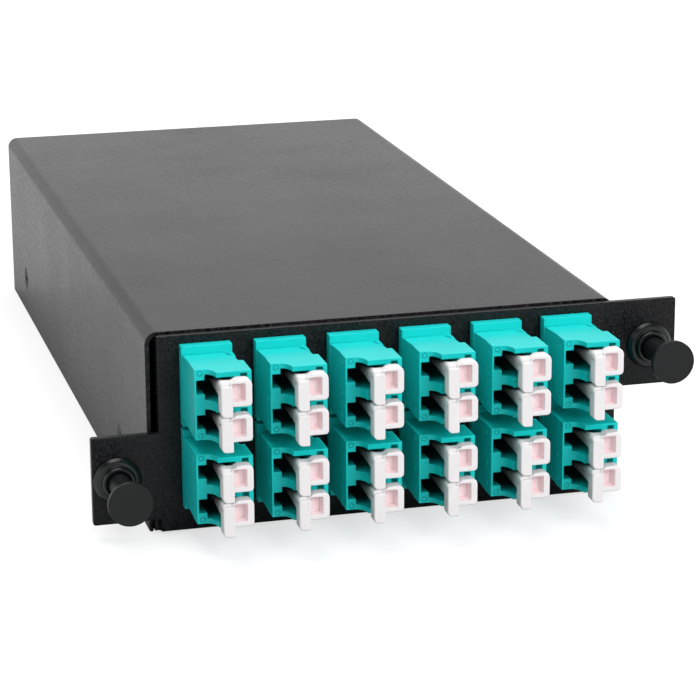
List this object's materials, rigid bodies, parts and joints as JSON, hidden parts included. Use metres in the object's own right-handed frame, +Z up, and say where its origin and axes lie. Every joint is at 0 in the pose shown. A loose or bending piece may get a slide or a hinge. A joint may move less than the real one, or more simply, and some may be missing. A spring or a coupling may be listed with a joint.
{
  "type": "fibre cassette",
  "caption": "Flat dark-grey steel fibre cassette with rows of aqua duplex adapters on its front plate, white dust caps in their ports, and a push-pull plunger in each ear of the plate.",
  "frame": {"origin": "middle of the overall bounding box in plan, on the plane of the box's underside; x = 0 is half way between the ends of the two ears", "axes": "+X from the low left ear to the high right ear seen from the front, +Y from the front plate to the rear wall, +Z up"},
  "size_m": [0.1092, 0.2182, 0.0371],
  "materials": {
    "coated_steel": "fine textured dark grey powder coat",
    "cover_screw": "black",
    "small_screw": "plain",
    "adapter": "moulded aqua plastic, faint sheen",
    "dust_cap": "soft white moulding",
    "plunger": "black nylon",
    "grommet": "black nylon",
    "mpo_adapter": "black moulding",
    "mpo_cap": "soft white moulding",
    "ceramic": "polished zirconia",
    "inner_connector": "aqua moulding",
    "fibre": "aqua jacket",
    "inner_plastic": "black moulding"
  },
  "bodies": {
    "cassette": {"adapter_1a": "adapter", "adapter_1b": "adapter", "adapter_2a": "adapter", "adapter_2b": "adapter", "adapter_3a": "adapter", "adapter_3b": "adapter", "adapter_4a": "adapter", "adapter_4b": "adapter", "adapter_5a": "adapter", "adapter_5b": "adapter", "adapter_6a": "adapter", "adapter_6b": "adapter", "alignment_sleeves": "ceramic", "base_tray": "coated_steel", "cover": "coated_steel", "cover_screws": "cover_screw", "fanout_blocks": "inner_plastic", "fibre_guides": "inner_plastic", "fibre_legs": "fibre", "fibre_ribbons": "fibre", "front_plate": "coated_steel", "grommet_left": "grommet", "grommet_right": "grommet", "inner_lc_connectors": "inner_connector", "inner_mpo_connectors": "inner_connector", "mpo_adapter_left": "mpo_adapter", "mpo_adapter_right": "mpo_adapter", "mpo_adapter_screws": "small_screw"},
    "dust_cap_1a_bottom": {"dust_cap_1a_bottom": "dust_cap"},
    "dust_cap_1a_top": {"dust_cap_1a_top": "dust_cap"},
    "dust_cap_1b_bottom": {"dust_cap_1b_bottom": "dust_cap"},
    "dust_cap_1b_top": {"dust_cap_1b_top": "dust_cap"},
    "dust_cap_2a_bottom": {"dust_cap_2a_bottom": "dust_cap"},
    "dust_cap_2a_top": {"dust_cap_2a_top": "dust_cap"},
    "dust_cap_2b_bottom": {"dust_cap_2b_bottom": "dust_cap"},
    "dust_cap_2b_top": {"dust_cap_2b_top": "dust_cap"},
    "dust_cap_3a_bottom": {"dust_cap_3a_bottom": "dust_cap"},
    "dust_cap_3a_top": {"dust_cap_3a_top": "dust_cap"},
    "dust_cap_3b_bottom": {"dust_cap_3b_bottom": "dust_cap"},
    "dust_cap_3b_top": {"dust_cap_3b_top": "dust_cap"},
    "dust_cap_4a_bottom": {"dust_cap_4a_bottom": "dust_cap"},
    "dust_cap_4a_top": {"dust_cap_4a_top": "dust_cap"},
    "dust_cap_4b_bottom": {"dust_cap_4b_bottom": "dust_cap"},
    "dust_cap_4b_top": {"dust_cap_4b_top": "dust_cap"},
    "dust_cap_5a_bottom": {"dust_cap_5a_bottom": "dust_cap"},
    "dust_cap_5a_top": {"dust_cap_5a_top": "dust_cap"},
    "dust_cap_5b_bottom": {"dust_cap_5b_bottom": "dust_cap"},
    "dust_cap_5b_top": {"dust_cap_5b_top": "dust_cap"},
    "dust_cap_6a_bottom": {"dust_cap_6a_bottom": "dust_cap"},
    "dust_cap_6a_top": {"dust_cap_6a_top": "dust_cap"},
    "dust_cap_6b_bottom": {"dust_cap_6b_bottom": "dust_cap"},
    "dust_cap_6b_top": {"dust_cap_6b_top": "dust_cap"},
    "plunger_left": {"plunger_left": "plunger"},
    "plunger_right": {"plunger_right": "plunger"},
    "mpo_cap_left": {"mpo_cap_left": "mpo_cap"},
    "mpo_cap_right": {"mpo_cap_right": "mpo_cap"}
  },
  "joints": [
    {"name": "dust_cap_1a_bottom_pull", "type": "slide", "parent": "cassette", "child": "dust_cap_1a_bottom", "axis": [0, -1, 0], "range_m": [0, 0.016]},
    {"name": "dust_cap_1a_top_pull", "type": "slide", "parent": "cassette", "child": "dust_cap_1a_top", "axis": [0, -1, 0], "range_m": [0, 0.016]},
    {"name": "dust_cap_1b_bottom_pull", "type": "slide", "parent": "cassette", "child": "dust_cap_1b_bottom", "axis": [0, -1, 0], "range_m": [0, 0.016]},
    {"name": "dust_cap_1b_top_pull", "type": "slide", "parent": "cassette", "child": "dust_cap_1b_top", "axis": [0, -1, 0], "range_m": [0, 0.016]},
    {"name": "dust_cap_2a_bottom_pull", "type": "slide", "parent": "cassette", "child": "dust_cap_2a_bottom", "axis": [0, -1, 0], "range_m": [0, 0.016]},
    {"name": "dust_cap_2a_top_pull", "type": "slide", "parent": "cassette", "child": "dust_cap_2a_top", "axis": [0, -1, 0], "range_m": [0, 0.016]},
    {"name": "dust_cap_2b_bottom_pull", "type": "slide", "parent": "cassette", "child": "dust_cap_2b_bottom", "axis": [0, -1, 0], "range_m": [0, 0.016]},
    {"name": "dust_cap_2b_top_pull", "type": "slide", "parent": "cassette", "child": "dust_cap_2b_top", "axis": [0, -1, 0], "range_m": [0, 0.016]},
    {"name": "dust_cap_3a_bottom_pull", "type": "slide", "parent": "cassette", "child": "dust_cap_3a_bottom", "axis": [0, -1, 0], "range_m": [0, 0.016]},
    {"name": "dust_cap_3a_top_pull", "type": "slide", "parent": "cassette", "child": "dust_cap_3a_top", "axis": [0, -1, 0], "range_m": [0, 0.016]},
    {"name": "dust_cap_3b_bottom_pull", "type": "slide", "parent": "cassette", "child": "dust_cap_3b_bottom", "axis": [0, -1, 0], "range_m": [0, 0.016]},
    {"name": "dust_cap_3b_top_pull", "type": "slide", "parent": "cassette", "child": "dust_cap_3b_top", "axis": [0, -1, 0], "range_m": [0, 0.016]},
    {"name": "dust_cap_4a_bottom_pull", "type": "slide", "parent": "cassette", "child": "dust_cap_4a_bottom", "axis": [0, -1, 0], "range_m": [0, 0.016]},
    {"name": "dust_cap_4a_top_pull", "type": "slide", "parent": "cassette", "child": "dust_cap_4a_top", "axis": [0, -1, 0], "range_m": [0, 0.016]},
    {"name": "dust_cap_4b_bottom_pull", "type": "slide", "parent": "cassette", "child": "dust_cap_4b_bottom", "axis": [0, -1, 0], "range_m": [0, 0.016]},
    {"name": "dust_cap_4b_top_pull", "type": "slide", "parent": "cassette", "child": "dust_cap_4b_top", "axis": [0, -1, 0], "range_m": [0, 0.016]},
    {"name": "dust_cap_5a_bottom_pull", "type": "slide", "parent": "cassette", "child": "dust_cap_5a_bottom", "axis": [0, -1, 0], "range_m": [0, 0.016]},
    {"name": "dust_cap_5a_top_pull", "type": "slide", "parent": "cassette", "child": "dust_cap_5a_top", "axis": [0, -1, 0], "range_m": [0, 0.016]},
    {"name": "dust_cap_5b_bottom_pull", "type": "slide", "parent": "cassette", "child": "dust_cap_5b_bottom", "axis": [0, -1, 0], "range_m": [0, 0.016]},
    {"name": "dust_cap_5b_top_pull", "type": "slide", "parent": "cassette", "child": "dust_cap_5b_top", "axis": [0, -1, 0], "range_m": [0, 0.016]},
    {"name": "dust_cap_6a_bottom_pull", "type": "slide", "parent": "cassette", "child": "dust_cap_6a_bottom", "axis": [0, -1, 0], "range_m": [0, 0.016]},
    {"name": "dust_cap_6a_top_pull", "type": "slide", "parent": "cassette", "child": "dust_cap_6a_top", "axis": [0, -1, 0], "range_m": [0, 0.016]},
    {"name": "dust_cap_6b_bottom_pull", "type": "slide", "parent": "cassette", "child": "dust_cap_6b_bottom", "axis": [0, -1, 0], "range_m": [0, 0.016]},
    {"name": "dust_cap_6b_top_pull", "type": "slide", "parent": "cassette", "child": "dust_cap_6b_top", "axis": [0, -1, 0], "range_m": [0, 0.016]},
    {"name": "plunger_left_push", "type": "slide", "parent": "cassette", "child": "plunger_left", "axis": [0, 1, 0], "range_m": [0, 0.0092]},
    {"name": "plunger_right_push", "type": "slide", "parent": "cassette", "child": "plunger_right", "axis": [0, 1, 0], "range_m": [0, 0.0082]},
    {"name": "mpo_cap_left_pull", "type": "slide", "parent": "cassette", "child": "mpo_cap_left", "axis": [0, 1, 0], "range_m": [0, 0.01]},
    {"name": "mpo_cap_right_pull", "type": "slide", "parent": "cassette", "child": "mpo_cap_right", "axis": [0, 1, 0], "range_m": [0, 0.01]}
  ]
}
